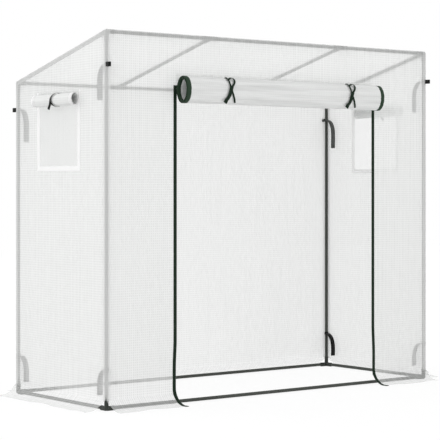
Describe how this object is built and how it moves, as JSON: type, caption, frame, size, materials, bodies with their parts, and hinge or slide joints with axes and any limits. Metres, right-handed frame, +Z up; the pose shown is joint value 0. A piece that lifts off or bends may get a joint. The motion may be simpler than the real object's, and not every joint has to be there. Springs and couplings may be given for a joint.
{
  "type": "plastic greenhouse",
  "caption": "Lean-to garden greenhouse: push-fit tube frame under a translucent woven cover with a floor skirt, a roll-up door and netted roll-up side windows.",
  "frame": {"origin": "on the floor, under the middle of the object's box", "axes": "+X along the front to the right as seen from the front, +Y from the door towards the back wall, +Z up"},
  "size_m": [2.1826, 1.0042, 1.6847],
  "materials": {
    "tube": "dark green powder coat, satin",
    "fitting": "moulded polypropylene, dark green",
    "cover": "woven polythene, translucent white, with a reinforcing grid",
    "border": "white hook-and-loop strip",
    "net": "fine white insect net",
    "tape": "dark green woven binding tape",
    "cord_tie": "narrow dark ribbon",
    "webbing": "black woven ribbon and webbing"
  },
  "bodies": {
    "frame": {"back_cover": "cover", "back_ground_rail_left": "tube", "back_ground_rail_right": "tube", "back_left_ground_corner": "fitting", "back_left_post_lower": "tube", "back_left_post_upper": "tube", "back_left_roof_corner": "fitting", "back_right_ground_corner": "fitting", "back_right_post_lower": "tube", "back_right_post_upper": "tube", "back_right_roof_corner": "fitting", "back_skirt": "cover", "back_top_rail_left": "tube", "back_top_rail_middle": "tube", "back_top_rail_right": "tube", "corner_loops": "webbing", "door_tapes": "tape", "door_ties": "tape", "front_cover": "cover", "front_ground_rail_left": "tube", "front_ground_rail_right": "tube", "front_left_ground_corner": "fitting", "front_left_post_lower": "tube", "front_left_post_upper": "tube", "front_left_roof_corner": "fitting", "front_left_skirt": "cover", "front_right_ground_corner": "fitting", "front_right_post_lower": "tube", "front_right_post_upper": "tube", "front_right_roof_corner": "fitting", "front_right_skirt": "cover", "front_top_rail_left": "tube", "front_top_rail_middle": "tube", "front_top_rail_right": "tube", "left_cover": "cover", "left_end_rafter": "tube", "left_ground_rail": "tube", "left_inner_rafter": "tube", "left_skirt": "cover", "left_window_border": "border", "left_window_net": "net", "left_window_tie": "cord_tie", "post_ties": "webbing", "rafter_tees": "fitting", "right_cover": "cover", "right_end_rafter": "tube", "right_ground_rail": "tube", "right_inner_rafter": "tube", "right_skirt": "cover", "right_window_border": "border", "right_window_net": "net", "right_window_tie": "cord_tie", "roof_cover": "cover"},
    "door_flap": {"door_flap": "cover"},
    "door_roll": {"door_roll": "cover", "door_roll_edges": "tape"},
    "left_window_flap": {"left_window_flap": "cover"},
    "left_window_roll": {"left_window_roll": "cover"},
    "right_window_flap": {"right_window_flap": "cover"},
    "right_window_roll": {"right_window_roll": "cover"}
  },
  "joints": [
    {"name": "door_drop", "type": "slide", "parent": "frame", "child": "door_flap", "axis": [0, 0, -1], "range_m": [0, 1.3418], "deforming": ["door_flap", "door_ties"]},
    {"name": "door_unroll", "type": "hinge", "parent": "door_flap", "child": "door_roll", "pos_m": [0, -0.4365, 1.426], "axis": [1, 0, 0], "range_deg": [0, 1620]},
    {"name": "left_window_drop", "type": "slide", "parent": "frame", "child": "left_window_flap", "axis": [0, 0, -1], "range_m": [0, 0.3148], "deforming": ["left_window_flap", "left_window_tie"]},
    {"name": "left_window_unroll", "type": "hinge", "parent": "left_window_flap", "child": "left_window_roll", "pos_m": [-1.02332, 0.01582, 1.382], "axis": [0, -1, 0], "range_deg": [0, 900]},
    {"name": "right_window_drop", "type": "slide", "parent": "frame", "child": "right_window_flap", "axis": [0, 0, -1], "range_m": [0, 0.3148], "deforming": ["right_window_flap", "right_window_tie"]},
    {"name": "right_window_unroll", "type": "hinge", "parent": "right_window_flap", "child": "right_window_roll", "pos_m": [1.02332, 0.01582, 1.382], "axis": [0, 1, 0], "range_deg": [0, 900]}
  ],
  "couplings": [
    {"joint": "door_unroll", "follows": "door_drop", "rad_per_m": 21.072},
    {"joint": "left_window_unroll", "follows": "left_window_drop", "rad_per_m": 49.897},
    {"joint": "right_window_unroll", "follows": "right_window_drop", "rad_per_m": 49.897}
  ]
}
